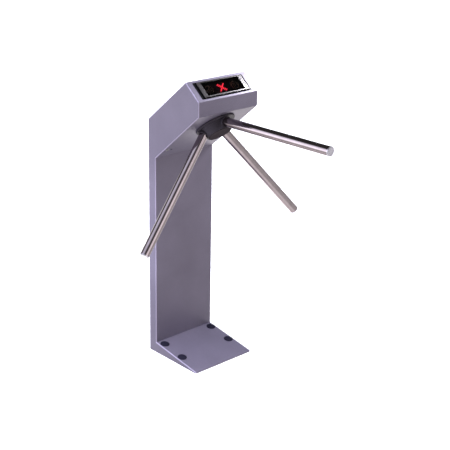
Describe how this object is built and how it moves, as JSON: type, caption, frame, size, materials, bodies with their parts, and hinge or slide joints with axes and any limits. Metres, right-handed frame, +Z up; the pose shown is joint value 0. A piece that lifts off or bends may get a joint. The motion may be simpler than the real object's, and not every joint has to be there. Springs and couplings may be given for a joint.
{
  "type": "tripod turnstile",
  "caption": "Slim tripod turnstile: slanted-head sheet-metal pedestal with a wedge foot, three polished arms on a slanted hub, a lit display and the locking mechanism inside.",
  "frame": {"origin": "centre of the four floor anchors, on the floor", "axes": "+X across the pedestal, -Y towards the passage, +Z up"},
  "size_m": [0.736, 0.7227, 1.0491],
  "materials": {
    "painted_sheet": "satin powder coat, lavender grey",
    "zinc_plate": "zinc plated",
    "dark_steel": "phosphated",
    "bare_steel": "plain",
    "ground_steel": "ground",
    "polished_steel": "mirror polished stainless steel",
    "black_plastic": "satin black",
    "black_screws": "black oxide",
    "black_rubber": "matte",
    "brass": "turned",
    "green_board": "solder mask",
    "green_plastic": "moulded",
    "smoked_window": "tinted clear",
    "red_lamp": "lit red",
    "unlit_lamp": "unlit, brownish"
  },
  "bodies": {
    "housing": {"body_shell": "painted_sheet", "mechanism_panel": "painted_sheet", "rear_cover": "painted_sheet", "service_lid": "painted_sheet", "cover_screws": "zinc_plate", "panel_screws": "black_screws", "panel_spacers": "zinc_plate", "base_plate": "dark_steel", "inner_frame": "dark_steel", "cable_grommet": "black_rubber", "anchor_caps": "black_plastic", "chassis_plate": "bare_steel", "chassis_brackets": "bare_steel", "plate_standoffs": "zinc_plate", "back_plate": "bare_steel", "bearing_housing": "dark_steel", "front_bearing": "ground_steel", "rear_bearing": "ground_steel", "disc_sensor": "black_plastic", "pawl_pins": "ground_steel", "left_solenoid": "dark_steel", "right_solenoid": "dark_steel", "detent_pin": "ground_steel", "detent_spring": "dark_steel", "control_board": "green_board", "board_components": "black_plastic", "terminal_block": "green_plastic", "board_standoffs": "zinc_plate", "release_lock": "polished_steel", "lock_nut": "zinc_plate", "display_tray": "black_plastic", "display_bezel": "polished_steel", "display_window": "smoked_window", "indicator_board": "green_board", "stop_symbol": "red_lamp", "pass_symbols": "unlit_lamp"},
    "rotor": {"main_shaft": "ground_steel", "bearing_spacer": "zinc_plate", "shaft_ring": "dark_steel", "lock_disc": "bare_steel", "detent_cam": "bare_steel", "encoder_disc": "dark_steel", "shaft_nut": "zinc_plate", "hub_core": "dark_steel", "shaft_key": "bare_steel", "shaft_bolt": "zinc_plate", "hub_cover": "black_plastic", "hub_screws": "zinc_plate", "hub_cap": "black_plastic", "upper_arm": "polished_steel", "left_arm": "polished_steel", "right_arm": "polished_steel", "arm_end_caps": "polished_steel"},
    "left_lock": {"left_pawl": "dark_steel"},
    "right_lock": {"right_pawl": "dark_steel"},
    "left_push": {"left_plunger": "ground_steel"},
    "right_push": {"right_plunger": "ground_steel"},
    "detent": {"detent_lever": "bare_steel"},
    "roller": {"detent_roller": "brass"},
    "key_barrel": {"lock_barrel": "zinc_plate"}
  },
  "joints": [
    {"name": "hub_turn", "type": "hinge", "parent": "housing", "child": "rotor", "pos_m": [0, -0.08446, 0.88596], "axis": [0, -0.6442, -0.7649], "continuous": true},
    {"name": "left_pawl_swing", "type": "hinge", "parent": "housing", "child": "left_lock", "pos_m": [-0.056, -0.05844, 0.96341], "axis": [0, -0.6442, -0.7649], "range_deg": [0, 13]},
    {"name": "right_pawl_swing", "type": "hinge", "parent": "housing", "child": "right_lock", "pos_m": [0.056, -0.05844, 0.96341], "axis": [0, 0.6442, 0.7649], "range_deg": [0, 13]},
    {"name": "left_plunger_slide", "type": "slide", "parent": "housing", "child": "left_push", "axis": [1, 0, 0], "range_m": [0, 0.00877]},
    {"name": "right_plunger_slide", "type": "slide", "parent": "housing", "child": "right_push", "axis": [-1, 0, 0], "range_m": [0, 0.00877]},
    {"name": "detent_swing", "type": "hinge", "parent": "housing", "child": "detent", "pos_m": [-0.058, 0.0149, 0.91079], "axis": [0, 0.6442, 0.7649], "range_deg": [0, 12]},
    {"name": "roller_spin", "type": "hinge", "parent": "detent", "child": "roller", "pos_m": [0, 0.0042, 0.92634], "axis": [0, -0.6442, -0.7649], "continuous": true},
    {"name": "key_turn", "type": "hinge", "parent": "housing", "child": "key_barrel", "pos_m": [-0.1185, 0.02874, 0.79062], "axis": [0, -0.6442, -0.7649], "range_deg": [0, 90]}
  ],
  "couplings": [
    {"joint": "left_plunger_slide", "follows": "left_pawl_swing", "m_per_rad": 0.0386},
    {"joint": "right_plunger_slide", "follows": "right_pawl_swing", "m_per_rad": 0.0386}
  ]
}
